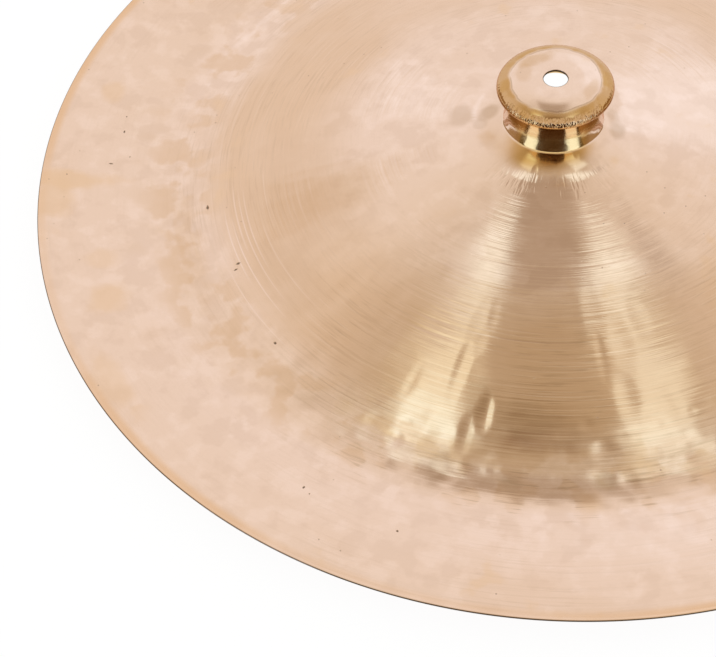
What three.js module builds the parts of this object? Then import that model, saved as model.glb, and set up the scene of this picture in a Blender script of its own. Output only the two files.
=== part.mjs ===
// China cymbal: one sheet of bell bronze, hammered hot to shape, then trued with a hammer and turned on
// a lathe. A hat-shaped bell with a drawn-in waist flares out to a shallow domed bow, which falls to
// a rounded crease. Outside the crease the flange turns up to the rim.
// Z is the cymbal's axis, with the bell up. The cymbal stands on its crease, whose lowest ring is at Z = 0.
// All sizes are millimetres, and all but the wall thicknesses are those of the upper face.
import * as THREE from 'three';

// Plan: diameters, from the rod hole out to the rim
const holeDiameter = 11.5;
const seatDiameter = 24;
const faceDiameter = 41;
const shoulderDiameter = 55.2;
const waistDiameter = 40.2;
const sideFootDiameter = 47.8;
const flareDiameter = 82;
const ringDiameter = 194;
const creaseDiameter = 376;
const rimDiameter = 508;

// Heights
const bellHeight = 24.3;
const crownDrop = 0.7;
const shoulderDepth = 5.2;
const waistDepth = 13.8;
const flareHeight = 5.4;
const bowHeight = 25.5;
const ringHeight = 17.5;
const rimHeight = 12.6;

// Roundings: the cove at the foot of the bell's side, and how far the crease's rounding reaches each way
const coveRadius = 2;
const creaseReachInside = 18;
const creaseReachOutside = 16;

// How far the foot of the bell's side leans out from upright, in degrees
const sideLean = 33;

// Slopes of the sheet, in degrees. At the ring, halfway out on the bow, it steepens by a faint step.
const flareStartSlope = 23;
const bowStartSlope = 8;
const ringInnerSlope = 8.6;
const ringOuterSlope = 10.2;
const bowEndSlope = 12.5;
const flangeStartSlope = 11.5;
const flangeEndSlope = 9.5;

// Wall thicknesses: the hammering and turning thin the sheet towards its rim
const bellWall = 1.3;
const creaseWall = 1;
const rimWall = 0.8;

// Flat facets round the full circle
const facets = 64;

const holeRadius = holeDiameter / 2;
const seatRadius = seatDiameter / 2;
const faceRadius = faceDiameter / 2;
const shoulderRadius = shoulderDiameter / 2;
const waistRadius = waistDiameter / 2;
const sideFootRadius = sideFootDiameter / 2;
const flareRadius = flareDiameter / 2;
const ringRadius = ringDiameter / 2;
const creaseRadius = creaseDiameter / 2;
const rimRadius = rimDiameter / 2;

// Height over run of a slope in degrees
function grade(slope) {
  return Math.tan(THREE.MathUtils.degToRad(slope));
}

// A point of the outline: distance from the axis, and height above the corner that the bow and the flange
// would make if the crease weren't rounded
function at(radius, height) {
  return new THREE.Vector2(radius, height);
}

// A curve from start to end that leaves and arrives at the given grades
function sweep(start, startGrade, end, endGrade) {
  const third = (end.x - start.x) / 3;
  const first = at(start.x + third, start.y + third * startGrade);
  const second = at(end.x - third, end.y - third * endGrade);
  return new THREE.CubicBezierCurve(start, first, second, end);
}

// The bell: a flat seat round the hole, a crowned face, a full round shoulder, and a side that draws in
// under it to a waist and leans out again to its foot. Steps are the straight facets that stand for each curve.
function bellCurves() {
  const top = bowHeight + flareHeight + bellHeight;
  const roundShare = 0.55;
  const underShare = 0.34;
  const drawShare = 0.4;
  const seatEdge = at(seatRadius, top);
  const faceEdge = at(faceRadius, top - crownDrop);
  const faceRun = faceRadius - seatRadius;
  const faceGrade = -2 * crownDrop / faceRun;
  const shoulder = at(shoulderRadius, top - shoulderDepth);
  const overRun = (shoulderRadius - faceRadius) * roundShare;
  const overDrop = (shoulderDepth - crownDrop) * roundShare;
  const waist = at(waistRadius, top - waistDepth);
  const drawHeight = waistDepth - shoulderDepth;
  const sideFoot = at(sideFootRadius, top - bellHeight);
  const sideReach = (waist.y - sideFoot.y) * drawShare;
  const lean = THREE.MathUtils.degToRad(sideLean);
  return [
    { curve: new THREE.LineCurve(at(holeRadius, top), seatEdge), steps: 1 },
    { curve: new THREE.QuadraticBezierCurve(seatEdge, at(seatRadius + faceRun / 2, top), faceEdge), steps: 2 },
    {
      curve: new THREE.CubicBezierCurve(
        faceEdge,
        at(faceEdge.x + overRun, faceEdge.y + overRun * faceGrade),
        at(shoulderRadius, shoulder.y + overDrop),
        shoulder,
      ),
      steps: 5,
    },
    {
      curve: new THREE.CubicBezierCurve(
        shoulder,
        at(shoulderRadius, shoulder.y - drawHeight * underShare),
        at(waistRadius, waist.y + drawHeight * drawShare),
        waist,
      ),
      steps: 8,
    },
    {
      curve: new THREE.CubicBezierCurve(
        waist,
        at(waistRadius, waist.y - sideReach),
        at(sideFootRadius - sideReach * Math.sin(lean), sideFoot.y + sideReach * Math.cos(lean)),
        sideFoot,
      ),
      steps: 4,
    },
  ];
}

// The cove at the foot of the bell's side, and the flare that runs out from it to the bow
function flareCurves() {
  const lean = THREE.MathUtils.degToRad(sideLean);
  const slope = THREE.MathUtils.degToRad(flareStartSlope);
  const centre = at(
    sideFootRadius + coveRadius * Math.cos(lean),
    bowHeight + flareHeight + coveRadius * Math.sin(lean),
  );
  const cove = new THREE.EllipseCurve(
    centre.x,
    centre.y,
    coveRadius,
    coveRadius,
    Math.PI + lean,
    1.5 * Math.PI - slope,
  );
  const flareEdge = at(flareRadius, bowHeight);
  return [
    { curve: cove, steps: 3 },
    { curve: sweep(cove.getPoint(1), -grade(flareStartSlope), flareEdge, -grade(bowStartSlope)), steps: 4 },
  ];
}

// The bow as far as the ring and beyond it, the rounded crease and the flange
function bowCurves() {
  const bowStart = at(flareRadius, bowHeight);
  const ring = at(ringRadius, ringHeight);
  const bowEnd = at(creaseRadius - creaseReachInside, creaseReachInside * grade(bowEndSlope));
  const flangeStart = at(creaseRadius + creaseReachOutside, creaseReachOutside * grade(flangeStartSlope));
  const rim = at(rimRadius, rimHeight);
  return [
    { curve: sweep(bowStart, -grade(bowStartSlope), ring, -grade(ringInnerSlope)), steps: 2 },
    { curve: sweep(ring, -grade(ringOuterSlope), bowEnd, -grade(bowEndSlope)), steps: 3 },
    { curve: new THREE.QuadraticBezierCurve(bowEnd, at(creaseRadius, 0), flangeStart), steps: 6 },
    { curve: sweep(flangeStart, grade(flangeStartSlope), rim, grade(flangeEndSlope)), steps: 3 },
  ];
}

// Wall thickness at a distance from the axis
function wallAt(radius) {
  if (radius < flareRadius) return bellWall;
  if (radius < creaseRadius) {
    return THREE.MathUtils.mapLinear(radius, flareRadius, creaseRadius, bellWall, creaseWall);
  }
  return THREE.MathUtils.mapLinear(radius, creaseRadius, rimRadius, creaseWall, rimWall);
}

// The outline's upper face from the hole to the rim, each point with the direction square to the sheet
function upperFace() {
  const face = [];
  for (const { curve, steps } of [...bellCurves(), ...flareCurves(), ...bowCurves()]) {
    const first = face.length === 0 ? 0 : 1;
    for (let step = first; step <= steps; step += 1) {
      const share = step / steps;
      const along = curve.getTangent(share);
      face.push({ point: curve.getPoint(share), square: at(-along.y, along.x) });
    }
  }
  return face;
}

// The closed outline: the upper face out to the rim, and the lower face back to the hole.
// The hole and the rim are cut along the axis.
function outline() {
  const face = upperFace();
  const lower = face.map(({ point, square }) => point.clone().addScaledVector(square, -wallAt(point.x)));
  const rim = face[face.length - 1];
  lower[lower.length - 1] = at(rimRadius, rim.point.y - rimWall / rim.square.y);
  const upper = face.map(({ point }) => point);
  return [...upper, ...lower.reverse(), upper[0]];
}

// The whole sheet, turned round its axis and set down on its crease
function cymbalGeometry() {
  const points = outline();
  const lowest = Math.min(...points.map((point) => point.y));
  const profile = points.map((point) => at(point.x, point.y - lowest));
  const geometry = new THREE.LatheGeometry(profile.reverse(), facets);
  geometry.rotateX(Math.PI / 2);
  return geometry;
}

const bronze = new THREE.MeshStandardMaterial({ color: 0xe3bf98, roughness: 0.25, metalness: 1 });

const cymbal = new THREE.Mesh(cymbalGeometry(), bronze);
cymbal.name = 'cymbal';

const chinaCymbal = new THREE.Group();
chinaCymbal.add(cymbal);

export default chinaCymbal;
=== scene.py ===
import math
import bpy
import numpy as np
from mathutils import Matrix, Vector


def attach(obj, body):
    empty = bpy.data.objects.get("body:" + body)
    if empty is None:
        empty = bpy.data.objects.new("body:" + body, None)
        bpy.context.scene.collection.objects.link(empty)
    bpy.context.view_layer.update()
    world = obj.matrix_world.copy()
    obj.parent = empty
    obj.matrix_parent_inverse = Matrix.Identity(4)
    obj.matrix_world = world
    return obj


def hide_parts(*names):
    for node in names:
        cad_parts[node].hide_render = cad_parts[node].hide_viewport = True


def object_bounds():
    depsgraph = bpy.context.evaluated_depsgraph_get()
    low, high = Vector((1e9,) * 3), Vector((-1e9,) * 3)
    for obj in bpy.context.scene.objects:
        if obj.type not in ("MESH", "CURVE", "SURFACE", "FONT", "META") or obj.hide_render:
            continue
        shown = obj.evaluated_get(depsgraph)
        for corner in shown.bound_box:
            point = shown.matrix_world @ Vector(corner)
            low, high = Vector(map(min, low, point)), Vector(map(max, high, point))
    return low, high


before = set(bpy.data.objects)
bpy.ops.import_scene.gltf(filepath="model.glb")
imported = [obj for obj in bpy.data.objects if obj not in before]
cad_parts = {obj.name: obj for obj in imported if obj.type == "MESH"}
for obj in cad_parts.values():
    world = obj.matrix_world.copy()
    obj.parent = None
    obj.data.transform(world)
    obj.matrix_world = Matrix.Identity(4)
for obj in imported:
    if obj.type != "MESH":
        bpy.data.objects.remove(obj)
solid_low, solid_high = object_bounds()
scene = bpy.context.scene
scene.view_settings.view_transform = "Standard"


# The view. It stands half a metre in front of the cymbal's middle and half a metre over it, and looks down
# past the bell at the near left of the rim, so the right side and the far side run out of the picture.

view_place = Vector((0, -0.4868, 0.5039))
view_aim = Vector((-0.0806, -0.1208, 0.0118))
view_roll = math.radians(-6.368)
view_lens_mm = 69.56
view_film_mm = 36
view_nearest = 0.01

camera_data = bpy.data.cameras.new("camera")
camera_data.sensor_width = view_film_mm
camera_data.lens = view_lens_mm
camera_data.clip_start = view_nearest
camera = bpy.data.objects.new("camera", camera_data)
level = (view_aim - view_place).to_track_quat("-Z", "Y").to_matrix().to_4x4()
camera.matrix_world = Matrix.Translation(view_place) @ level @ Matrix.Rotation(view_roll, 4, "Z")
scene.collection.objects.link(camera)
scene.camera = camera


# The cymbal. It is one disc of cast and rolled bell bronze, hammered hot into bell, bow and flange,
# then trued by hand with a hammer and skimmed on a lathe. Nothing is fixed to it.

# Distances from the axis, out to the rim, which the frame gives
hole_radius = 0.00575
seat_radius = 0.012
face_radius = 0.0205
shoulder_radius = 0.0276
waist_radius = 0.0201
side_foot_radius = 0.0239
flare_radius = 0.041
ring_radius = 0.097
crease_radius = 0.188
rim_radius = solid_high.x

# Heights: the bell's face above its foot, and the rest above the corner where bow and flange would meet
bell_height = 0.0243
crown_drop = 0.0007
shoulder_depth = 0.0052
waist_depth = 0.0138
flare_height = 0.0054
bow_height = 0.0255
ring_height = 0.0175
rim_height = 0.0126

# Roundings, slopes and walls of the sheet
cove_radius = 0.002
crease_reach_inside = 0.018
crease_reach_outside = 0.016
side_lean = math.radians(33)
flare_start_slope = math.radians(23)
bow_start_slope = math.radians(8)
ring_inner_slope = math.radians(8.6)
ring_outer_slope = math.radians(10.2)
bow_end_slope = math.radians(12.5)
flange_start_slope = math.radians(11.5)
flange_end_slope = math.radians(9.5)
bell_wall = 0.0013
crease_wall = 0.001
rim_wall = 0.0008
hole_break = 0.00015

# Rings of points on each stretch of the upper face, from the hole out
seat_rings = 5
face_rings = 14
roll_rings = 40
draw_rings = 34
side_rings = 26
cove_rings = 8
flare_rings = 24
inner_bow_rings = 100
outer_bow_rings = 120
crease_rings = 50
flange_rings = 48


def bezier(points, count):
    """Points along a curve and the direction along it, for two to four guide points."""
    share = np.linspace(0, 1, count + 1)[:, None]
    layers = [np.repeat(np.array([point], float), count + 1, 0) for point in points]
    while len(layers) > 2:
        layers = [a + (b - a) * share for a, b in zip(layers, layers[1:])]
    along = layers[1] - layers[0]
    return layers[0] + along * share, along


def sweep(start, start_slope, end, end_slope, count):
    """A curve that leaves and arrives at the given slopes, in radians."""
    third = (end[0] - start[0]) / 3
    first = (start[0] + third, start[1] + third * math.tan(start_slope))
    second = (end[0] - third, end[1] - third * math.tan(end_slope))
    return bezier([start, first, second, end], count)


def arc(centre, start, end, radius, count):
    """Points on an arc, and the direction square to it."""
    turn = np.linspace(start, end, count)
    square = np.stack([np.cos(turn), np.sin(turn)], 1)
    return np.array(centre) + square * radius, square


def bell_curves():
    """The bell's upper face: seat, crowned face, round shoulder, and the side in to the waist and out."""
    top = bow_height + flare_height + bell_height
    round_share = 0.55
    under_share = 0.34
    draw_share = 0.4
    seat = (seat_radius, top)
    face = (face_radius, top - crown_drop)
    face_run = face_radius - seat_radius
    face_grade = -2 * crown_drop / face_run
    over_run = (shoulder_radius - face_radius) * round_share
    over_drop = (shoulder_depth - crown_drop) * round_share
    over_face = (face[0] + over_run, face[1] + over_run * face_grade)
    shoulder = (shoulder_radius, top - shoulder_depth)
    waist = (waist_radius, top - waist_depth)
    under_drop = (waist_depth - shoulder_depth) * under_share
    draw_drop = (waist_depth - shoulder_depth) * draw_share
    foot = (side_foot_radius, top - bell_height)
    reach = (bell_height - waist_depth) * draw_share
    lean = (foot[0] - reach * math.sin(side_lean), foot[1] + reach * math.cos(side_lean))
    return [
        bezier([(hole_radius, top), seat], seat_rings),
        bezier([seat, (seat_radius + face_run / 2, top), face], face_rings),
        bezier([face, over_face, (shoulder[0], shoulder[1] + over_drop), shoulder], roll_rings),
        bezier([shoulder, (shoulder[0], shoulder[1] - under_drop), (waist[0], waist[1] + draw_drop), waist],
               draw_rings),
        bezier([waist, (waist[0], waist[1] - reach), lean, foot], side_rings),
    ]


def sheet_curves():
    """The upper face from the cove at the bell's foot over flare, bow and crease to the rim."""
    foot_height = bow_height + flare_height
    cove_centre = (side_foot_radius + cove_radius * math.cos(side_lean),
                   foot_height + cove_radius * math.sin(side_lean))
    cove, cove_square = arc(cove_centre, math.pi + side_lean, 1.5 * math.pi - flare_start_slope, cove_radius,
                            cove_rings)
    cove_along = np.stack([-cove_square[:, 1], cove_square[:, 0]], 1)
    flare_edge = (flare_radius, bow_height)
    ring = (ring_radius, ring_height)
    bow_edge = (crease_radius - crease_reach_inside, crease_reach_inside * math.tan(bow_end_slope))
    flange_edge = (crease_radius + crease_reach_outside, crease_reach_outside * math.tan(flange_start_slope))
    rim = (rim_radius, rim_height)
    return [
        (cove, cove_along),
        sweep(tuple(cove[-1]), -flare_start_slope, flare_edge, -bow_start_slope, flare_rings),
        sweep(flare_edge, -bow_start_slope, ring, -ring_inner_slope, inner_bow_rings),
        sweep(ring, -ring_outer_slope, bow_edge, -bow_end_slope, outer_bow_rings),
        bezier([bow_edge, (crease_radius, 0), flange_edge], crease_rings),
        sweep(flange_edge, flange_start_slope, rim, flange_end_slope, flange_rings),
    ]


def wall_at(radius):
    """The sheet's thickness at a distance from the axis."""
    return np.interp(radius, [flare_radius, crease_radius, rim_radius], [bell_wall, crease_wall, rim_wall])


def joined(stretches):
    """Stretches of outline end to end, without doubled points: places, and the direction square to them."""
    places = np.concatenate([place[1:] if i else place for i, (place, along) in enumerate(stretches)])
    along = np.concatenate([along[1:] if i else along for i, (place, along) in enumerate(stretches)])
    along = along / np.linalg.norm(along, axis=1)[:, None]
    return places, np.stack([-along[:, 1], along[:, 0]], 1)


upper, upper_square = joined(bell_curves() + sheet_curves())
lower = upper - upper_square * wall_at(upper[:, 0])[:, None]
lowest = lower[:, 1].min()
upper[:, 1] -= lowest
lower[:, 1] -= lowest

# Hammer marks, turned lines and the bell's nicks, as heights of the sheet above its true form
hammer_seed = 20
marks = np.random.default_rng(hammer_seed)


def circle_noise(angle, waves, steepness=0.7):
    """A smooth random value round the circle, about -1 to 1."""
    value = 0
    total = 0
    for wave in range(1, waves + 1):
        size = wave ** -steepness
        value = value + size * np.sin(wave * angle + marks.uniform(0, 2 * math.pi))
        total += size * size
    return value / math.sqrt(total)


def press(height, rows, radii, columns, place, turn, length, width, deep, slant=0.0):
    """One hammer mark: length is its reach along the outline, width its reach round the circle."""
    reach = length + abs(slant) * width
    near = np.flatnonzero(np.abs(rows - place) < reach)
    if len(near) == 0:
        return
    radius = np.interp(place, rows, radii)
    off_turn = (columns - turn + math.pi) % (2 * math.pi) - math.pi
    beside = np.flatnonzero(np.abs(off_turn) * radius < width + abs(slant) * length)
    if len(beside) == 0:
        return
    out = rows[near, None] - place
    across = off_turn[None, beside] * radius
    bowl = np.clip(1 - (out / length) ** 2 - ((across - slant * out) / width) ** 2, 0, None) ** 2 * deep
    patch = np.ix_(near, beside)
    height[patch] = np.minimum(height[patch], -bowl)


def dents(rows, radii, columns, count, band, length, depth, ratio, sector=(-180, 180), slant=(0, 0)):
    """Hammer marks scattered over a ring. Where two meet, the deeper one counts."""
    height = np.zeros((len(rows), len(columns)))
    for _ in range(count):
        place = marks.uniform(*band)
        turn = math.radians(marks.uniform(*sector))
        long = marks.uniform(*length)
        press(height, rows, radii, columns, place, turn, long, long * marks.uniform(*ratio),
              marks.uniform(*depth), marks.uniform(*slant))
    return height


def fade(value, start, end):
    """0 before start, 1 after end, and smooth between."""
    share = np.clip((value - start) / (end - start), 0, 1)
    return share * share * (3 - 2 * share)


# The lathe's grooves: the gaps between them, their widths and strengths, most of them faint,
# and where they start and weaken
groove_samples = 0.00025
groove_overrun = 0.02
groove_gap = (0.0007, 0.0028)
groove_width = (0.0003, 0.0006)
groove_strength = (0.1, 1)
groove_power = 3
groove_depth = 0.00004
groove_wander = 0.0005
groove_waves = 9
groove_start = (0.046, 0.052)
groove_end = (0.17, 0.21)
groove_loss = 0.8

groove_radii = np.arange(0, rim_radius + groove_overrun, groove_samples)
groove_heights = np.zeros_like(groove_radii)
place = flare_radius
while place < rim_radius:
    place += marks.uniform(*groove_gap)
    width = marks.uniform(*groove_width)
    deep = marks.uniform(*groove_strength) ** groove_power
    groove_heights -= deep * np.exp(-((groove_radii - place) / width) ** 2)

# Dents on the bow, crease and flange: how many, the ring that they lie in, their length, their depth,
# and their width as a share of their length
sheet_dents = (
    (520, (0.170, 0.212), (0.005, 0.011), (0.00004, 0.00016), (0.8, 1.3)),
    (700, (0.158, 0.222), (0.003, 0.005), (0.00001, 0.00005), (0.8, 1.4)),
    (260, (0.166, 0.204), (0.002, 0.004), (0.00002, 0.00007), (2.2, 4)),
    (240, (0.205, 0.250), (0.008, 0.014), (0.00001, 0.00005), (1, 1.8)),
    (120, (0.060, 0.165), (0.012, 0.024), (0.00001, 0.00005), (0.6, 1)),
    (150, (0.105, 0.172), (0.012, 0.026), (0.00002, 0.00007), (0.25, 0.45)),
)

# Single marks on the bow and in the crease that catch the light: distance out, degrees round,
# length, width and depth
single_marks = (
    (0.159, -7.6, 0.013, 0.0048, 0.00024),
    (0.170, -9.6, 0.013, 0.0050, 0.00014),
    (0.128, 12.0, 0.020, 0.0030, 0.00006),
    (0.176, 17.0, 0.012, 0.0070, 0.00014),
    (0.167, -17.5, 0.015, 0.0090, 0.00014),
    (0.163, 4.0, 0.014, 0.0050, 0.00007),
    (0.140, -13.5, 0.024, 0.0050, 0.00008),
)


def sheet_marks(places, square, columns):
    """The hammered and turned bow, crease and flange."""
    radii = places[:, 0]
    angle = columns[None, :]
    radius = radii[:, None]
    height = np.zeros((len(radii), len(columns)))
    for count, band, length, depth, ratio in sheet_dents:
        height += dents(radii, radii, columns, count, band, length, depth, ratio)
    for out, turn, length, width, deep in single_marks:
        press(height, radii, radii, columns, out, math.radians(turn), length, width, deep)
    wander = groove_wander * circle_noise(angle, groove_waves)
    grooves = np.interp(radius + wander, groove_radii, groove_heights)
    outer_share = 1 - groove_loss * fade(radius, *groove_end)
    height += grooves * groove_depth * fade(radius, *groove_start) * outer_share
    return height


# Slits round the bell's foot: how many, the degrees round that they lie between, and their depth
foot_slits = (
    (150, (-180, 180), (0.000005, 0.000012)),
    (30, (-42, -8), (0.00001, 0.00003)),
    (80, (-45, 50), (0.000007, 0.000015)),
)
slit_band = (0.036, 0.047)
slit_length = (0.003, 0.006)
slit_ratio = (0.10, 0.16)
slit_slant = (-0.15, 0.15)
foot_dent_count = 90
foot_dent_band = (0.025, 0.036)
foot_dent_length = (0.003, 0.006)
foot_dent_depth = (0.00001, 0.00004)
foot_dent_ratio = (0.6, 1.2)


def foot_marks(places, square, columns):
    """The short radial slits that the hammer left round the bell's foot, deepest in front, and soft dents."""
    radii = places[:, 0]
    height = np.zeros((len(radii), len(columns)))
    for count, sector, depth in foot_slits:
        height += dents(radii, radii, columns, count, slit_band, slit_length, depth, slit_ratio, sector,
                        slit_slant)
    height += dents(radii, radii, columns, foot_dent_count, foot_dent_band, foot_dent_length, foot_dent_depth,
                    foot_dent_ratio)
    return height


def rows_along(places):
    """How far along the outline each ring lies from the first."""
    steps = np.hypot(*np.diff(places, axis=0).T)
    return np.concatenate([[0], np.cumsum(steps)])


# Nicks round the shoulder, between two tilts of the sheet in degrees above level: how many,
# the degrees round that they lie between, and their depth
nick_first_tilt = 64
nick_last_tilt = -24
shoulder_nicks = ((460, (-180, 180), (0.00003, 0.00009)), (280, (-56, 56), (0.00012, 0.00024)))
nick_length = (0.0010, 0.0019)
nick_ratio = (0.30, 0.42)
nick_slant = (-0.5, 0.5)


def shoulder_marks(places, square, columns):
    """The close little nicks round the shoulder, where the bell was chased over a stake."""
    rows = rows_along(places)
    tilt = np.degrees(np.arctan2(square[:, 1], square[:, 0]))
    turn_in = np.argmin(tilt)
    band = np.interp((-nick_first_tilt, -nick_last_tilt), -tilt[:turn_in], rows[:turn_in])
    height = np.zeros((len(rows), len(columns)))
    for count, sector, depth in shoulder_nicks:
        height += dents(rows, places[:, 0], columns, count, band, nick_length, depth, nick_ratio, sector,
                        nick_slant)
    return height


# Dents on the bell's side: how many, their length and depth, and their width as a share of their length
side_dent_count = 170
side_dent_length = (0.0015, 0.0035)
side_dent_depth = (0.00002, 0.00006)
side_dent_ratio = (0.6, 1.2)


def side_marks(places, square, columns):
    """The soft dents of the planishing hammer on the bell's side."""
    rows = rows_along(places)
    return dents(rows, places[:, 0], columns, side_dent_count, (rows[0], rows[-1]), side_dent_length,
                 side_dent_depth, side_dent_ratio)


def no_marks(places, square, columns):
    """A stretch that was left smooth."""
    return np.zeros((len(places), len(columns)))


# The mesh: rings round the closed outline, finest at the shoulder and the foot of the bell.
# The rim and the hole have rounded edges, and the underside has fewer rings.
plain_steps = 768
fine_steps = 2 * plain_steps
coarse_steps = plain_steps // 2
fine_edge = 0.050
edge_rings = 4
bell_ring_count = 132
under_bell_skip = 3
under_sheet_skip = 4
face_tilt = 66
roll_reach = 0.008
shoulder_slack = 0.00015

bell_keep = np.arange(0, bell_ring_count, under_bell_skip)
sheet_keep = np.arange(bell_ring_count, len(lower), under_sheet_skip)
keep = np.unique(np.concatenate([bell_keep, sheet_keep, [len(lower) - 1]]))
under = lower[keep][::-1]
under_square = -upper_square[keep][::-1]
rim_half = rim_wall / 2
inside_rim = rim_radius - rim_half
rim_centre = (inside_rim, (upper[-1, 1] + under[0, 1]) / 2)
rim_turn = math.atan2(upper_square[-1, 1], upper_square[-1, 0])
rim_places, rim_square = arc(rim_centre, rim_turn, rim_turn - math.pi, rim_half, 2 * edge_rings + 1)
top_face = upper[0, 1]
under_face = top_face - bell_wall
hole_edge = hole_radius + hole_break
hole_top, hole_top_square = arc((hole_edge, top_face - hole_break), math.pi, math.pi / 2, hole_break,
                                edge_rings + 1)
hole_low, hole_low_square = arc((hole_edge, under_face + hole_break), 1.5 * math.pi, math.pi, hole_break,
                                edge_rings + 1)
shown = (upper[:, 0] > hole_edge) & (upper[:, 0] < inside_rim)
upper = upper[shown]
upper_square = upper_square[shown]
shown = (under[:, 0] > hole_edge) & (under[:, 0] < inside_rim)
under = under[shown]
under_square = under_square[shown]

tilt = np.degrees(np.arctan2(upper_square[:, 1], upper_square[:, 0]))
past_shoulder = np.arange(len(upper)) > np.argmax(upper[:, 0] > shoulder_radius - shoulder_slack)
is_face = ~past_shoulder & (tilt > face_tilt)
is_shoulder = ~is_face & (upper[:, 1] > under_face - roll_reach)
is_side = ~is_face & ~is_shoulder & (upper[:, 0] < side_foot_radius)
is_foot = ~is_face & ~is_shoulder & ~is_side & (upper[:, 0] < fine_edge)
is_bow = upper[:, 0] >= fine_edge

rings = []


def add_rings(places, square, steps, lift):
    """Rings of points, with the sheet's marks added square to it."""
    columns = np.linspace(-math.pi, math.pi, steps, endpoint=False)
    off = lift(places, square, columns)
    radius = places[:, :1] + square[:, :1] * off
    height = places[:, 1:] + square[:, 1:] * off
    turns = columns[None, :]
    rings.extend(np.stack([radius * np.sin(turns), -radius * np.cos(turns), height], -1))


add_rings(hole_low, hole_low_square, coarse_steps, no_marks)
add_rings(hole_top, hole_top_square, coarse_steps, no_marks)
add_rings(upper[is_face], upper_square[is_face], plain_steps, no_marks)
add_rings(upper[is_shoulder], upper_square[is_shoulder], fine_steps, shoulder_marks)
add_rings(upper[is_side], upper_square[is_side], plain_steps, side_marks)
add_rings(upper[is_foot], upper_square[is_foot], fine_steps, foot_marks)
add_rings(upper[is_bow], upper_square[is_bow], plain_steps, sheet_marks)
add_rings(rim_places, rim_square, plain_steps, no_marks)
add_rings(under, under_square, coarse_steps, no_marks)
firsts = np.concatenate([[0], np.cumsum([len(ring) for ring in rings])])
points = np.concatenate(rings)
points[:, 2] = np.clip(points[:, 2], 0, solid_high.z)

# Faces between each ring and the next. Where one has twice the points of the other, triangles fill the step.
quads = []
triangles = []
for index, ring in enumerate(rings):
    following = (index + 1) % len(rings)
    this = firsts[index]
    that = firsts[following]
    this_count = len(ring)
    that_count = len(rings[following])
    here = np.arange(min(this_count, that_count))
    there = (here + 1) % len(here)
    middle = 2 * here + 1
    if this_count == that_count:
        quads.append(np.stack([this + here, that + here, that + there, this + there], 1))
    elif this_count > that_count:
        last = (2 * here + 2) % this_count
        triangles.append(np.stack([this + 2 * here, that + here, this + middle], 1))
        quads.append(np.stack([this + middle, that + here, that + there, this + last], 1))
    else:
        last = (2 * here + 2) % that_count
        triangles.append(np.stack([this + here, that + 2 * here, that + middle], 1))
        quads.append(np.stack([this + here, that + middle, that + last, this + there], 1))
quads = np.concatenate(quads)
triangles = np.concatenate(triangles)

mesh = bpy.data.meshes.new("cymbal_sheet")
mesh.vertices.add(len(points))
mesh.vertices.foreach_set("co", points.astype(np.float32).ravel())
corners = np.concatenate([quads.ravel(), triangles.ravel()])
mesh.loops.add(len(corners))
mesh.loops.foreach_set("vertex_index", corners.astype(np.int32))
starts = np.concatenate([np.arange(len(quads)) * 4, len(quads) * 4 + np.arange(len(triangles)) * 3])
mesh.polygons.add(len(starts))
mesh.polygons.foreach_set("loop_start", starts.astype(np.int32))
mesh.update(calc_edges=True)
mesh.shade_smooth()
cymbal = bpy.data.objects.new("cymbal_sheet", mesh)
scene.collection.objects.link(cymbal)

# Bell bronze: pink where it is polished, tan where it has darkened, golden on the bell's side, brown and tan
# for painted reflections on the bell's side and round its foot, and dark for the cut edge and for painted
# shade in the hole
polished_pink = (0.835, 0.612, 0.482, 1)
pale_pink = (0.90, 0.68, 0.56, 1)
dull_pink = (0.76, 0.545, 0.42, 1)
aged_tan = (0.75, 0.51, 0.35, 1)
dull_tan = (0.64, 0.42, 0.27, 1)
golden_brown = (0.77, 0.52, 0.23, 1)
painted_reflection_brown = (0.50, 0.29, 0.11, 1)
roll_brown = (0.57, 0.32, 0.12, 1)
painted_reflection_tan = (0.58, 0.32, 0.11, 1)
groove_brown = (0.42, 0.28, 0.17, 1)
stain_orange = (0.80, 0.54, 0.35, 1)
stain_and_reflection_brown = (0.50, 0.33, 0.21, 1)
rim_gold = (0.78, 0.49, 0.29, 1)
pit_brown = (0.16, 0.10, 0.06, 1)
dark_edge_and_painted_shade = (0.07, 0.045, 0.025, 1)

bronze = bpy.data.materials.new("bell_bronze")
bronze.use_nodes = True
nodes = bronze.node_tree.nodes
links = bronze.node_tree.links
shader = nodes["Principled BSDF"]
shader.inputs["Metallic"].default_value = 1


def feed(socket, value):
    """A socket gets a link from another socket, or a plain value."""
    if isinstance(value, bpy.types.NodeSocket):
        links.new(value, socket)
    else:
        socket.default_value = value


def reckon(operation, first, second=0.0):
    """One sum in the material that nodes and links stand for at the time."""
    node = nodes.new("ShaderNodeMath")
    node.operation = operation
    feed(node.inputs[0], first)
    feed(node.inputs[1], second)
    return node.outputs[0]


def times(first, *others):
    """The product of some values."""
    product = first
    for other in others:
        product = reckon("MULTIPLY", product, other)
    return product


def between(value, low, high, low_result=0.0, high_result=1.0):
    """A smooth step of a value from low to high."""
    node = nodes.new("ShaderNodeMapRange")
    node.interpolation_type = "SMOOTHSTEP"
    for name, number in (("Value", value), ("From Min", low), ("From Max", high),
                         ("To Min", low_result), ("To Max", high_result)):
        feed(node.inputs[name], number)
    return node.outputs[0]


def blend_colour(share, under_colour, over_colour):
    """A share of one colour laid over another."""
    node = nodes.new("ShaderNodeMix")
    node.data_type = "RGBA"
    feed(node.inputs["Factor"], share)
    feed(node.inputs["A"], under_colour)
    feed(node.inputs["B"], over_colour)
    return node.outputs["Result"]


def cloud(place, scale, detail=3.0):
    """Soft noise, with its scale in clouds to the metre."""
    node = nodes.new("ShaderNodeTexNoise")
    feed(node.inputs["Vector"], place)
    node.inputs["Scale"].default_value = scale
    node.inputs["Detail"].default_value = detail
    return node.outputs["Fac"]


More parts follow.
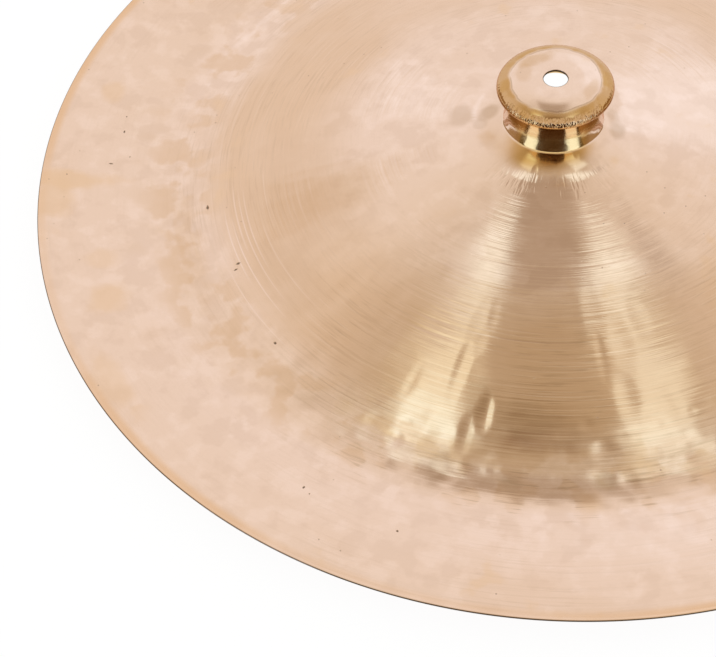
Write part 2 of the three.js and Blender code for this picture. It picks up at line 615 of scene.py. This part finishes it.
spot = nodes.new("ShaderNodeTexCoord").outputs["Object"]
parts = nodes.new("ShaderNodeSeparateXYZ")
links.new(spot, parts.inputs[0])
sideways = parts.outputs["X"]
backwards = parts.outputs["Y"]
height = parts.outputs["Z"]
flat = nodes.new("ShaderNodeCombineXYZ")
links.new(sideways, flat.inputs["X"])
links.new(backwards, flat.inputs["Y"])
out = nodes.new("ShaderNodeVectorMath")
out.operation = "LENGTH"
links.new(flat.outputs[0], out.inputs[0])
radius = out.outputs["Value"]
around = nodes.new("ShaderNodeVectorMath")
around.operation = "NORMALIZE"
links.new(flat.outputs[0], around.inputs[0])


def turned_lines(spacing, length_share):
    """Lines round the axis: spacing in metres, and how fast they change along their length."""
    line = nodes.new("ShaderNodeVectorMath")
    line.operation = "MULTIPLY"
    links.new(around.outputs[0], line.inputs[0])
    line.inputs[1].default_value = (length_share, length_share, 0)
    rise = nodes.new("ShaderNodeCombineXYZ")
    links.new(reckon("DIVIDE", radius, spacing), rise.inputs["Z"])
    total = nodes.new("ShaderNodeVectorMath")
    total.operation = "ADD"
    links.new(line.outputs[0], total.inputs[0])
    links.new(rise.outputs[0], total.inputs[1])
    return cloud(total.outputs[0], scale=1, detail=2)


patch_raggedness = 1.6
patch_edge = (1.3, 2.0)


def spot_at(distance_out, degrees_round, length, width, ragged):
    """1 inside a ragged oval patch, with its half length outwards and its half width round the axis."""
    turn = math.radians(degrees_round)
    place = nodes.new("ShaderNodeMapping")
    place.vector_type = "TEXTURE"
    centre = (distance_out * math.sin(turn), -distance_out * math.cos(turn), 0)
    place.inputs["Location"].default_value = centre
    place.inputs["Rotation"].default_value = (0, 0, turn)
    place.inputs["Scale"].default_value = (width, length, 1)
    links.new(flat.outputs[0], place.inputs["Vector"])
    reach = nodes.new("ShaderNodeVectorMath")
    reach.operation = "LENGTH"
    links.new(place.outputs[0], reach.inputs[0])
    edge = reckon("ADD", reach.outputs["Value"], times(ragged, patch_raggedness))
    return between(edge, *patch_edge, 1, 0)


coarse_lines = turned_lines(spacing=0.0016, length_share=2.2)
fine_lines = turned_lines(spacing=0.0006, length_share=3.5)
short_lines = turned_lines(spacing=0.0011, length_share=9)
broad_clouds = cloud(spot, scale=14)
small_clouds = cloud(spot, scale=60)
mottle = cloud(spot, scale=95, detail=4)
grain = cloud(spot, scale=900, detail=2)

# From here on, a pair of numbers is where a soft edge starts and ends: distances from the axis, heights,
# or levels of the noise. A share is how much of a colour shows.

# Polished metal with soft blotches, and a tanner belt on the bow between the ring and the crease
pale_blotch = (0.50, 0.68)
pale_share = 0.55
dull_blotch = (0.82, 0.98)
dull_share = 0.5
belt_start = (0.088, 0.125)
belt_end = (0.155, 0.178)
belt_step = (0.0965, 0.0972)
belt_inner_share = 0.75
belt_blotch = (0.3, 0.6)
belt_blotch_share = 0.6
tan_blotch = (0.5, 0.66)
tan_blotch_share = 0.25
crease_start = (0.160, 0.176)
crease_end = (0.192, 0.212)
crease_blotch = (0.48, 0.60)
crease_share = 0.75

colour = blend_colour(between(mottle, *pale_blotch, 0, pale_share), polished_pink, pale_pink)
colour = blend_colour(between(reckon("ADD", mottle, small_clouds), *dull_blotch, dull_share, 0),
                      colour, dull_pink)
belt = times(between(radius, *belt_start), between(radius, *belt_end, 1, 0),
             between(radius, *belt_step, belt_inner_share, 1))
tan_share = reckon("ADD", times(belt, between(broad_clouds, *belt_blotch, belt_blotch_share, 1)),
                   between(broad_clouds, *tan_blotch, 0, tan_blotch_share))
colour = blend_colour(tan_share, colour, aged_tan)
crease = times(between(radius, *crease_start), between(radius, *crease_end, 1, 0))
crease_tan = times(crease, between(small_clouds, *crease_blotch, 0, crease_share))
colour = blend_colour(crease_tan, colour, aged_tan)

# Turned lines: dirt in the grooves, and bright crests, fainter near the bell, on the flange and on the left
line_start = (0.060, 0.150)
line_inner_share = 0.06
line_end = (0.175, 0.200)
line_crease_share = 0.5
line_outer_share = 0.17
line_blotch = (0.40, 0.62)
line_blotch_share = 0.3
left_edge = (-0.15, -0.05)
left_share = 0.45

line_share = times(between(radius, *line_start, line_inner_share, 1),
                   between(radius, *line_end, line_crease_share, line_outer_share),
                   between(broad_clouds, *line_blotch, line_blotch_share, 1),
                   between(sideways, *left_edge, left_share, 1))
for lines, line_levels, share, tint in (
        (short_lines, (0.46, 0.32), 0.6, groove_brown),
        (coarse_lines, (0.45, 0.32), 0.45, groove_brown),
        (fine_lines, (0.56, 0.70), 0.9, pale_pink)):
    colour = blend_colour(times(between(lines, *line_levels, 0, share), line_share), colour, tint)

# Groups of dark scratches in the front of the crease
scratch_start = (0.178, 0.186)
scratch_end = (0.200, 0.210)
scratch_blotch = (0.48, 0.58)
scratch_front = (-0.182, -0.168)
scratch_share = 0.65
scratch_levels = (0.47, 0.36)
scratch_line_share = 0.6

scratched = times(between(radius, *scratch_start), between(radius, *scratch_end, 1, 0),
                  between(small_clouds, *scratch_blotch),
                  between(backwards, *scratch_front, scratch_share, 0))
scratches = times(between(short_lines, *scratch_levels, 0, scratch_line_share), scratched)
colour = blend_colour(scratches, colour, groove_brown)

# Single bright lines that the lathe's tool left on the near left of the bow: distance out, degrees round,
# the degrees that they reach each way, and their share
bright_lines = (
    (0.1535, -66, 12, 0.5),
    (0.1560, -62, 16, 0.6),
    (0.1585, -70, 9, 0.5),
    (0.1610, -58, 14, 0.65),
    (0.1640, -64, 10, 0.6),
    (0.1475, -55, 14, 0.4),
    (0.1430, -72, 10, 0.35),
    (0.1700, -50, 12, 0.5),
)
thin_line = (0.0001, 0.0005)

for distance_out, degrees, half_turn, share in bright_lines:
    turn = math.radians(degrees)
    facing = nodes.new("ShaderNodeVectorMath")
    facing.operation = "DOT_PRODUCT"
    links.new(around.outputs[0], facing.inputs[0])
    facing.inputs[1].default_value = (math.sin(turn), -math.cos(turn), 0)
    beside = between(facing.outputs["Value"], math.cos(math.radians(half_turn)), 1)
    off_line = reckon("ABSOLUTE", reckon("SUBTRACT", radius, distance_out))
    line = times(between(off_line, *thin_line, 1, 0), beside, share)
    colour = blend_colour(line, colour, pale_pink)

# Tarnish. Soft orange blotches, then stains on the flange, in the crease and on the bow, and beside the bell
# a painted reflection of the bell's side: distance out, degrees round, half length outwards, half width round
# the axis, share and colour
orange_spots = (0.60, 0.72)
orange_blotch = (0.5, 0.62)
orange_share = 0.5
stains_and_bell_reflections = (
    (0.238, -81, 0.026, 0.007, 0.75, stain_orange),
    (0.247, -78, 0.010, 0.016, 0.6, stain_orange),
    (0.228, -61.5, 0.010, 0.010, 0.6, stain_orange),
    (0.226, -68, 0.009, 0.007, 0.4, stain_orange),
    (0.232, -97, 0.006, 0.009, 0.5, stain_orange),
    (0.243, -50, 0.008, 0.020, 0.45, stain_orange),
    (0.1865, 9.5, 0.006, 0.0055, 0.55, stain_and_reflection_brown),
    (0.189, -2.5, 0.006, 0.006, 0.35, stain_and_reflection_brown),
    (0.196, 7.3, 0.006, 0.006, 0.4, stain_orange),
    (0.186, -12, 0.010, 0.005, 0.3, stain_and_reflection_brown),
    (0.160, -2, 0.010, 0.016, 0.3, stain_and_reflection_brown),
    (0.125, -73, 0.030, 0.050, 0.20, dull_tan),
    (0.150, -52, 0.016, 0.030, 0.25, dull_tan),
    (0.152, -9, 0.012, 0.006, 0.3, stain_and_reflection_brown),
    # Beside the bell, left and right: painted reflection of the bell's side, not stains
    (0.045, -94.5, 0.0065, 0.008, 0.35, stain_and_reflection_brown),
    (0.031, -97, 0.005, 0.006, 0.55, stain_and_reflection_brown),
    (0.035, -84, 0.004, 0.004, 0.3, stain_and_reflection_brown),
    (0.031, 78, 0.004, 0.006, 0.5, stain_and_reflection_brown),
    (0.029, 97, 0.003, 0.006, 0.3, stain_and_reflection_brown),
)

orange = times(between(small_clouds, *orange_spots), between(broad_clouds, *orange_blotch, 0, orange_share))
colour = blend_colour(orange, colour, stain_orange)
for distance_out, degrees, length, width, share, tint in stains_and_bell_reflections:
    patch = spot_at(distance_out, degrees, length, width, small_clouds)
    colour = blend_colour(times(patch, share), colour, tint)

# The bell's round shoulder: brown, from a worn edge with a dark line on it. The smears on the face inside
# have distance out, degrees round, half length outwards, half width round the axis, and share.
bell_rise = (0.0285, 0.05)
edge_wear = 0.004
noise_middle = 0.5
roll_start = (0.0206, 0.0228)
roll_blotch = (0.40, 0.60)
roll_share = 0.82
face_line_radius = 0.0212
face_line_blotch = (0.44, 0.54)
face_line_shares = (0.1, 0.6)
smears = (
    (0.0165, -150, 0.005, 0.010, 0.45),
    (0.0150, -100, 0.004, 0.006, 0.25),
    (0.0175, 70, 0.003, 0.008, 0.25),
)

above_foot = between(height, *bell_rise)
worn_radius = reckon("ADD", radius, times(reckon("SUBTRACT", mottle, noise_middle), edge_wear))
roll = times(between(worn_radius, *roll_start), above_foot)
colour = blend_colour(times(roll, between(mottle, *roll_blotch, roll_share, 1)), colour, roll_brown)
off_face = reckon("ABSOLUTE", reckon("SUBTRACT", worn_radius, face_line_radius))
face_line = times(between(off_face, *thin_line, 1, 0), above_foot,
                  between(small_clouds, *face_line_blotch, *face_line_shares))
colour = blend_colour(face_line, colour, stain_and_reflection_brown)
for distance_out, degrees, length, width, share in smears:
    smear = times(spot_at(distance_out, degrees, length, width, mottle), above_foot, share)
    colour = blend_colour(smear, colour, roll_brown)

# The bell's side below the nicks: golden bronze with a painted reflection, golden in front and behind and
# brown left and right, and low down left and right a painted highlight where the pale bronze shows
nicks_end = (0.0490, 0.0512)
side_end = (0.0240, 0.0252)
low_height = (0.0325, 0.0345)
painted_highlight_edge = (0.0145, 0.0185)
tint_share_in_painted_highlight = 0.1
golden_half = (0.0130, 0.0180)

below_nicks = between(height, *nicks_end, 1, 0)
aside = reckon("ABSOLUTE", sideways)
low_side = times(between(radius, *side_end, 1, 0), between(height, *low_height, 1, 0),
                 between(aside, *painted_highlight_edge, 1, tint_share_in_painted_highlight))
side = times(reckon("ADD", low_side, between(height, *low_height)), below_nicks)
side_painted_reflection = blend_colour(between(aside, *golden_half), golden_brown, painted_reflection_brown)
colour = blend_colour(side, colour, side_painted_reflection)

# A painted reflection of the bell's side: a tan skirt round the bell's foot, wider on the left and fainter to
# the right, far left and back
skirt_left_end = 0.0380
skirt_right_end = 0.0335
skirt_half = 0.020
skirt_soft = 0.008
skirt_share = 0.95
skirt_right = (0.013, 0.022)
skirt_right_share = 0.2
skirt_left = (-0.024, -0.014)
skirt_left_share = 0.3
skirt_back = (-0.018, 0.006)
skirt_back_share = 0.4

skirt_end = between(sideways, -skirt_half, skirt_half, skirt_left_end, skirt_right_end)
skirt_inner_end = reckon("SUBTRACT", skirt_end, skirt_soft)
painted_reflection_skirt = times(between(radius, *side_end), between(radius, skirt_inner_end, skirt_end, skirt_share, 0),
              between(height, *low_height, 1, 0),
              between(sideways, *skirt_right, 1, skirt_right_share),
              between(sideways, *skirt_left, skirt_left_share, 1),
              between(backwards, *skirt_back, 1, skirt_back_share))
colour = blend_colour(painted_reflection_skirt, colour, painted_reflection_tan)

# The rim's last millimetres are gold in places, and its cut edge is dark. The hole's wall and, in front, its
# upper corner carry painted shade in the same dark colour.
gold_cloud_scale = 5
gold_blotch = (0.40, 0.55)
gold_shares = (0.3, 0.8)
gold_start = (0.2482, 0.2520)
cut_start = (0.25345, 0.2537)
cut_share = 0.8
hole_edge_end = (0.0059, 0.0061)
hole_face = (0.0541, 0.0543)
hole_back = (-0.001, 0.003)
hole_back_share = 0.1

gold_clouds = cloud(spot, scale=gold_cloud_scale, detail=1)
gold_share = between(gold_clouds, *gold_blotch, *gold_shares)
colour = blend_colour(times(between(radius, *gold_start), gold_share), colour, rim_gold)
colour = blend_colour(between(radius, *cut_start, 0, cut_share), colour, dark_edge_and_painted_shade)
hole_painted_shade = times(between(radius, *hole_edge_end, 1, 0),
              between(height, *hole_face, 1, between(backwards, *hole_back, 1, hole_back_share)))
colour = blend_colour(hole_painted_shade, colour, dark_edge_and_painted_shade)

# Pits left from the casting: a few long ones, and pinholes round them. The long ones have distance out,
# degrees round, half length outwards and half width round the axis.
long_pits = (
    (0.2185, -90.2, 0.00048, 0.00096),
    (0.2200, -93.0, 0.00036, 0.00048),
    (0.2125, -85.8, 0.00036, 0.00048),
    (0.2210, -84.2, 0.00108, 0.00036),
    (0.2415, -81.8, 0.00036, 0.00036),
    (0.1720, -74.5, 0.00060, 0.00180),
    (0.1650, -60.5, 0.00120, 0.00060),
    (0.1670, -59.6, 0.00096, 0.00042),
    (0.1725, -43.5, 0.00060, 0.00084),
    (0.2215, -25.0, 0.00072, 0.00060),
    (0.2230, -24.0, 0.00036, 0.00036),
    (0.2240, -13.5, 0.00042, 0.00060),
    (0.0168, -101, 0.00024, 0.00024),
    (0.1960, 96, 0.00060, 0.00096),
    (0.2050, 140, 0.00048, 0.00060),
    (0.2280, 171, 0.00054, 0.00084),
)
pinholes_per_metre = 110
pinhole_chance = (0.82, 0.84)
pinhole_blotch = (0.52, 0.60)
pinhole_edge = (0.02, 0.05)
pinhole_share = 0.6
pit_share = 0.9

pit = 0.0
for distance_out, degrees, length, width in long_pits:
    pit = reckon("MAXIMUM", pit, spot_at(distance_out, degrees, length, width, grain))
cells = nodes.new("ShaderNodeTexVoronoi")
cells.voronoi_dimensions = "2D"
cells.inputs["Scale"].default_value = pinholes_per_metre
links.new(spot, cells.inputs["Vector"])
chance = nodes.new("ShaderNodeSeparateColor")
links.new(cells.outputs["Color"], chance.inputs["Color"])
chosen = times(between(chance.outputs["Red"], *pinhole_chance), between(broad_clouds, *pinhole_blotch))
pinhole = times(between(cells.outputs["Distance"], *pinhole_edge, pinhole_share, 0), chosen)
pit = reckon("ADD", pit, pinhole)
colour = blend_colour(times(pit, pit_share), colour, pit_brown)
links.new(colour, shader.inputs["Base Color"])

# Polish: bright all over, and duller on the shoulder's inner edge, the bell's side, the crease
# and the hole's wall
worn_levels = (0.8, 1.25)
worn_roughness = (0.07, 0.13)
roll_edge = (0.0222, 0.0245)
roll_edge_roughness = 0.13
roll_roughness = 0.01
side_roughness = 0.05
crease_roughness = 0.04
hole_wall_roughness = 0.4

rough = between(reckon("ADD", small_clouds, fine_lines), *worn_levels, *worn_roughness)
rough = reckon("ADD", rough, times(roll, between(radius, *roll_edge, roll_edge_roughness, roll_roughness)))
rough = reckon("ADD", rough, times(side, side_roughness))
rough = reckon("ADD", rough, times(crease, crease_roughness))
rough = reckon("ADD", rough, times(hole_painted_shade, hole_wall_roughness))
links.new(rough, shader.inputs["Roughness"])

# Fine relief: the turned lines outside the bell's foot, the grain and the pits
turned_start = (0.045, 0.052)
turned_end = (0.165, 0.205)
turned_outer_share = 0.3
turned_left_share = 0.5
grain_share = 0.05
pit_depth = 4
relief_height = 0.00003

turned_share = times(between(radius, *turned_start), between(radius, *turned_end, 1, turned_outer_share),
                     between(sideways, *left_edge, turned_left_share, 1))
lines = reckon("ADD", coarse_lines, fine_lines)
relief = reckon("ADD", times(lines, turned_share), times(grain, grain_share))
relief = reckon("SUBTRACT", relief, times(pit, pit_depth))
bump = nodes.new("ShaderNodeBump")
bump.inputs["Strength"].default_value = 1
bump.inputs["Distance"].default_value = relief_height
links.new(relief, bump.inputs["Height"])
links.new(bump.outputs[0], shader.inputs["Normal"])
mesh.materials.append(bronze)

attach(cymbal, "root")
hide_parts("cymbal")


# The floor. A plain pale sheet of studio paper that the cymbal rests on by its crease.
# It is white to the eye, and keeps the cymbal's soft shadow.

floor_reach = 12
paper_colour = (0.8, 0.8, 0.8, 1)
shown_paper_colour = (0.10, 0.10, 0.10, 1)
shown_paper_glow = 0.92

floor_mesh = bpy.data.meshes.new("floor")
floor_mesh.from_pydata(
    [(-floor_reach, -floor_reach, 0), (floor_reach, -floor_reach, 0),
     (floor_reach, floor_reach, 0), (-floor_reach, floor_reach, 0)], [], [(0, 1, 2, 3)])
floor = bpy.data.objects.new("floor", floor_mesh)
scene.collection.objects.link(floor)
paper = bpy.data.materials.new("studio_paper")
paper.use_nodes = True
nodes = paper.node_tree.nodes
links = paper.node_tree.links
nodes.clear()
path = nodes.new("ShaderNodeLightPath")
seen = reckon("MAXIMUM", path.outputs["Is Camera Ray"], path.outputs["Is Glossy Ray"])
seen = reckon("MAXIMUM", seen, path.outputs["Is Transmission Ray"])
plain = nodes.new("ShaderNodeBsdfDiffuse")
plain.inputs["Color"].default_value = paper_colour
shown_paper = nodes.new("ShaderNodeBsdfDiffuse")
shown_paper.inputs["Color"].default_value = shown_paper_colour
glow = nodes.new("ShaderNodeEmission")
glow.inputs["Strength"].default_value = shown_paper_glow
both = nodes.new("ShaderNodeAddShader")
links.new(shown_paper.outputs[0], both.inputs[0])
links.new(glow.outputs[0], both.inputs[1])
choice = nodes.new("ShaderNodeMixShader")
links.new(seen, choice.inputs[0])
links.new(plain.outputs[0], choice.inputs[1])
links.new(both.outputs[0], choice.inputs[2])
surface = nodes.new("ShaderNodeOutputMaterial")
links.new(choice.outputs[0], surface.inputs["Surface"])
floor_mesh.materials.append(paper)


# The slip. A little disc of white paper that hangs inside the bell under the hole, seen only from above,
# so that the white background shows through the hole.

slip_radius = 0.0085
slip_height = 0.0500
slip_sides = 48

slip_turns = [2 * math.pi * i / slip_sides for i in range(slip_sides)]
slip_mesh = bpy.data.meshes.new("paper_slip")
slip_mesh.from_pydata(
    [(slip_radius * math.cos(t), slip_radius * math.sin(t), slip_height) for t in slip_turns],
    [], [tuple(range(slip_sides))])
slip = bpy.data.objects.new("paper_slip", slip_mesh)
slip.visible_diffuse = False
slip.visible_glossy = False
slip.visible_transmission = False
slip.visible_shadow = False
scene.collection.objects.link(slip)
slip_paper = bpy.data.materials.new("slip_paper")
slip_paper.use_nodes = True
nodes = slip_paper.node_tree.nodes
links = slip_paper.node_tree.links
nodes.clear()
back = nodes.new("ShaderNodeNewGeometry")
clear = nodes.new("ShaderNodeBsdfTransparent")
white = nodes.new("ShaderNodeEmission")
choice = nodes.new("ShaderNodeMixShader")
links.new(back.outputs["Backfacing"], choice.inputs[0])
links.new(white.outputs[0], choice.inputs[1])
links.new(clear.outputs[0], choice.inputs[2])
surface = nodes.new("ShaderNodeOutputMaterial")
links.new(choice.outputs[0], surface.inputs["Surface"])
slip_mesh.materials.append(slip_paper)


# The room. It is white all round. Panels that glow stand in it, out of the picture, and show only
# in the metal: the ceiling, and below it the screens and lights in front.

room_white = (1, 1, 1, 1)

world = bpy.data.worlds.new("white_room")
world.use_nodes = True
world.node_tree.nodes["Background"].inputs["Color"].default_value = room_white
world.node_tree.nodes["Background"].inputs["Strength"].default_value = 1
scene.world = world


def panel(name, corners, faces, colour):
    """A glowing panel that shows only in reflections and as light."""
    panel_mesh = bpy.data.meshes.new(name)
    panel_mesh.from_pydata(corners, [], faces)
    item = bpy.data.objects.new(name, panel_mesh)
    item.visible_camera = False
    item.visible_shadow = False
    scene.collection.objects.link(item)
    material = bpy.data.materials.new(name)
    material.use_nodes = True
    material.node_tree.nodes.clear()
    light = material.node_tree.nodes.new("ShaderNodeEmission")
    light.inputs["Color"].default_value = colour
    output = material.node_tree.nodes.new("ShaderNodeOutputMaterial")
    material.node_tree.links.new(light.outputs[0], output.inputs["Surface"])
    panel_mesh.materials.append(material)
    return item


# The ceiling. A warm sheet that is dim over the cymbal and white far out, with soft strips of light in it
# left and right of the middle.

ceiling_height = 1.5
ceiling_reach = 4
ceiling_stretch = (0.9, 0.75)
ceiling_forward = 0.075

# Its colour in the middle, at distances from the middle, and from the span on
ceiling_middle = (0.36, 0.26, 0.17, 1)
ceiling_tones = (
    (0.11, (0.45, 0.36, 0.24, 1)),
    (0.17, (0.50, 0.42, 0.29, 1)),
    (0.225, (0.62, 0.55, 0.41, 1)),
    (0.345, (0.65, 0.58, 0.44, 1)),
    (0.51, (0.70, 0.64, 0.50, 1)),
    (0.65, (0.82, 0.77, 0.67, 1)),
    (0.84, (0.94, 0.91, 0.84, 1)),
    (1.05, (0.98, 0.97, 0.94, 1)),
)
ceiling_span = 1.3
ceiling_edge = (1, 1, 1, 1)

# The dim middle, the soft lights left and right of it in front and behind, and far patches: colour,
# centre, slant, half width, first and last y, and how soft their left, right and ends are
ceiling_strips = (
    ((0.53, 0.45, 0.35, 1), -0.01, 0, 0.15, (0.42, 1.02), (0.03, 0.03, 0.14)),
    ((0.90, 0.86, 0.66, 1), -0.345, 0.10, 0.115, (-0.3, 0.39), (0.06, 0.02, 0.06)),
    ((1.14, 1.21, 1.03, 1), -0.330, 0.12, 0.090, (-0.3, 0.365), (0.04, 0.010, 0.03)),
    ((1.26, 1.50, 1.42, 1), -0.345, 0.10, 0.10, (-0.3, 0.175), (0.05, 0.02, 0.04)),
    ((0.77, 0.71, 0.55, 1), 0.33, 0, 0.15, (0.27, 0.42), (0.02, 0.02, 0.03)),
    ((1.10, 1.18, 1.06, 1), 0.37, 0, 0.100, (-0.3, 0.40), (0.02, 0.03, 0.03)),
    ((1.22, 1.40, 1.32, 1), 0.38, 0, 0.09, (-0.3, 0.14), (0.04, 0.04, 0.04)),
    ((0.88, 0.86, 0.80, 1), -0.29, 0, 0.07, (0.42, 0.70), (0.05, 0.03, 0.04)),
    ((1.16, 1.28, 1.22, 1), -0.205, 0, 0.065, (0.42, 0.68), (0.04, 0.02, 0.03)),
    ((1.18, 1.31, 1.25, 1), 0.13, 0.22, 0.085, (0.41, 0.67), (0.015, 0.05, 0.03)),
    ((0.62, 0.56, 0.48, 1), 0.41, 0, 0.05, (0.62, 0.74), (0.03, 0.03, 0.03)),
    ((0.90, 0.85, 0.76, 1), -0.87, 0, 0.17, (0.95, 1.3), (0.08, 0.08, 0.08)),
    ((1.10, 1.15, 1.22, 1), -0.75, 0, 0.08, (1.7, 2.4), (0.05, 0.05, 0.05)),
    ((1.10, 1.16, 1.24, 1), 0.75, 0, 0.65, (1.5, 2.7), (0.10, 0.10, 0.10)),
)

ceiling = panel(
    "ceiling",
    [(-ceiling_reach, -ceiling_reach, ceiling_height), (-ceiling_reach, ceiling_reach, ceiling_height),
     (ceiling_reach, ceiling_reach, ceiling_height), (ceiling_reach, -ceiling_reach, ceiling_height)],
    [(0, 1, 2, 3)], ceiling_edge)
nodes = ceiling.active_material.node_tree.nodes
links = ceiling.active_material.node_tree.links
where = nodes.new("ShaderNodeTexCoord")
off = nodes.new("ShaderNodeVectorMath")
off.operation = "MULTIPLY_ADD"
off.inputs[1].default_value = (ceiling_stretch[0] / ceiling_span, ceiling_stretch[1] / ceiling_span, 0)
off.inputs[2].default_value = (0, ceiling_forward / ceiling_span, 0)
links.new(where.outputs["Object"], off.inputs[0])
distance = nodes.new("ShaderNodeVectorMath")
distance.operation = "LENGTH"
links.new(off.outputs[0], distance.inputs[0])
ramp = nodes.new("ShaderNodeValToRGB")
ramp.color_ramp.elements[0].color = ceiling_middle
ramp.color_ramp.elements[1].color = ceiling_edge
for distance_out, tone in ceiling_tones:
    element = ramp.color_ramp.elements.new(distance_out / ceiling_span)
    element.color = tone
links.new(distance.outputs["Value"], ramp.inputs[0])
ceiling_place = nodes.new("ShaderNodeSeparateXYZ")
links.new(where.outputs["Object"], ceiling_place.inputs[0])
ceiling_x = ceiling_place.outputs["X"]
ceiling_y = ceiling_place.outputs["Y"]


def soft_strip(tone, light, centre, slant, half_width, reach, softness):
    """A strip of other light along the ceiling: centre is its x at y zero, and reach its first and last y."""
    left_soft, right_soft, end_soft = softness
    middle = reckon("ADD", times(ceiling_y, slant), centre)
    off_middle = reckon("SUBTRACT", ceiling_x, middle)
    inside = times(between(off_middle, -half_width - left_soft, -half_width + left_soft),
                   between(off_middle, half_width - right_soft, half_width + right_soft, 1, 0))
    length = times(between(ceiling_y, reach[0] - end_soft, reach[0] + end_soft),
                   between(ceiling_y, reach[1] - end_soft, reach[1] + end_soft, 1, 0))
    return blend_colour(times(inside, length), tone, light)


tone = ramp.outputs["Color"]
for strip in ceiling_strips:
    tone = soft_strip(tone, *strip)
links.new(tone, nodes["Emission"].inputs["Color"])


# The front screens. A dark screen between two tall lights, with a brown post outside each and a tan screen
# at each side, stand in an arc round the cymbal. A dark cloth lies on the floor before the front screen.

screen_distance = 1.3
screen_foot = 0.001
screen_height = 0.85
screen_half_turn = math.radians(32)
screen_colour = (0.07, 0.035, 0.012, 1)
light_end_turn = math.radians(57)
light_colour = (1.35, 1.65, 2.2, 1)
post_end_turn = math.radians(67)
post_colour = (0.15, 0.10, 0.04, 1)
side_end_turn = math.radians(124)
side_height = 0.6
side_colour = (0.43, 0.29, 0.14, 1)
cloth_start = 0.27
cloth_lift = 0.0005
arc_steps = 12


def corner_row(start, end, distance, height):
    """Corners along an arc round the cymbal, with turns counted from straight in front."""
    turns = np.linspace(start, end, arc_steps + 1)
    return [(distance * math.sin(t), -distance * math.cos(t), height) for t in turns]


def glowing_band(name, first_row, second_row, colour):
    """A panel between two rows of corners."""
    faces = [(i, i + 1, arc_steps + i + 2, arc_steps + i + 1) for i in range(arc_steps)]
    return panel(name, first_row + second_row, faces, colour)


for name, start, end, top, tint in (
        ("front_screen", -screen_half_turn, screen_half_turn, screen_height, screen_colour),
        ("tall_light_left", -light_end_turn, -screen_half_turn, screen_height, light_colour),
        ("tall_light_right", screen_half_turn, light_end_turn, screen_height, light_colour),
        ("post_left", -post_end_turn, -light_end_turn, screen_height, post_colour),
        ("post_right", light_end_turn, post_end_turn, screen_height, post_colour),
        ("side_screen_left", -side_end_turn, -post_end_turn, side_height, side_colour),
        ("side_screen_right", post_end_turn, side_end_turn, side_height, side_colour)):
    glowing_band(name, corner_row(start, end, screen_distance, screen_foot),
                 corner_row(start, end, screen_distance, top), tint)
cloth_near = corner_row(-screen_half_turn, screen_half_turn, cloth_start, cloth_lift)
cloth_far = corner_row(-screen_half_turn, screen_half_turn, screen_distance, cloth_lift)
cloth = glowing_band("front_cloth", cloth_near, cloth_far, screen_colour)
cloth.visible_diffuse = False
